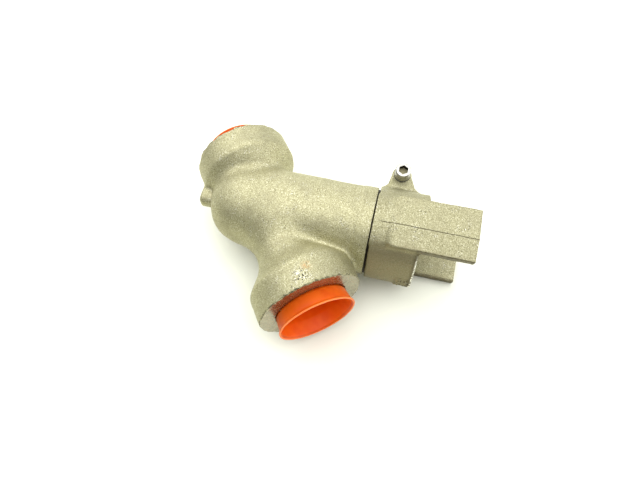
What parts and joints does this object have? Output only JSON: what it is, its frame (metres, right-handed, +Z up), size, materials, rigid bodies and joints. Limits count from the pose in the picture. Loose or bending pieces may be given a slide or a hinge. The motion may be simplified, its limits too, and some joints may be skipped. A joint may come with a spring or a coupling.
{
  "type": "y strainer",
  "caption": "Forged socket-weld Y strainer with a screen under a screwed cover, a clamped two-arm yoke and orange dust caps.",
  "frame": {"origin": "flow centre, where the run axis crosses the axis of the screen leg", "axes": "+X along the run in the direction of flow, +Z up, with the screen leg in the XY plane at 52 degrees from +X towards +Y"},
  "size_m": [0.2218, 0.2215, 0.092],
  "materials": {
    "forged_steel": "shot-blasted forging, warm grey, matt with a fine grain",
    "orange_plastic": "soft moulded polyethylene, slightly glossy",
    "stainless_steel": "bright stainless sheet and rings",
    "spiral_winding": "steel strip wound with graphite filler",
    "machined_steel": "turned",
    "spring_steel": "dark phosphate",
    "copper": "soft copper",
    "plug_steel": "plain turned steel",
    "bright_screw": "bright stainless socket head screw"
  },
  "bodies": {
    "body": {"body": "forged_steel", "gasket_inner_ring": "stainless_steel", "gasket_winding": "spiral_winding", "gasket_outer_ring": "stainless_steel"},
    "inlet_cap": {"inlet_cap": "orange_plastic"},
    "outlet_cap": {"outlet_cap": "orange_plastic"},
    "cover": {"cover": "machined_steel", "screen_sheet": "stainless_steel", "screen_seat_ring": "stainless_steel", "screen_collar": "stainless_steel", "thrust_washer": "machined_steel", "retaining_ring": "spring_steel"},
    "yoke": {"yoke": "forged_steel"},
    "clamp_lock_washer": {"clamp_lock_washer": "spring_steel"},
    "clamp_screw": {"clamp_screw": "bright_screw"},
    "drain_seal": {"drain_seal": "copper"},
    "drain_plug": {"drain_plug": "plug_steel"}
  },
  "joints": [
    {"name": "inlet_cap_pull", "type": "slide", "parent": "body", "child": "inlet_cap", "axis": [-1, 0, 0], "range_m": [0, 0.03]},
    {"name": "outlet_cap_pull", "type": "slide", "parent": "body", "child": "outlet_cap", "axis": [1, 0, 0], "range_m": [0, 0.03]},
    {"name": "cover_rise", "type": "slide", "parent": "body", "child": "cover", "axis": [0.6157, 0.788, 0], "range_m": [0, 0.03]},
    {"name": "yoke_turn", "type": "hinge", "parent": "cover", "child": "yoke", "pos_m": [0.07511, 0.09614, 0], "axis": [0.6157, 0.788, 0], "range_deg": [0, 3600]},
    {"name": "clamp_washer_rise", "type": "slide", "parent": "yoke", "child": "clamp_lock_washer", "axis": [0.184, -0.1437, 0.9724], "range_m": [0, 0.0115]},
    {"name": "clamp_screw_turn", "type": "hinge", "parent": "clamp_lock_washer", "child": "clamp_screw", "pos_m": [0.03123, 0.12509, 0.0242], "axis": [0.184, -0.1437, 0.9724], "range_deg": [0, 2160]},
    {"name": "drain_seal_rise", "type": "slide", "parent": "cover", "child": "drain_seal", "axis": [0.6157, 0.788, 0], "range_m": [0, 0.0165]},
    {"name": "drain_plug_turn", "type": "hinge", "parent": "drain_seal", "child": "drain_plug", "pos_m": [0.0865, 0.11072, 0], "axis": [0.6157, 0.788, 0], "range_deg": [0, 3960]}
  ],
  "couplings": [
    {"joint": "cover_rise", "follows": "yoke_turn", "m_per_rad": 0.00047746},
    {"joint": "clamp_washer_rise", "follows": "clamp_screw_turn", "m_per_rad": 0.00025266},
    {"joint": "drain_seal_rise", "follows": "drain_plug_turn", "m_per_rad": 0.00023873}
  ]
}
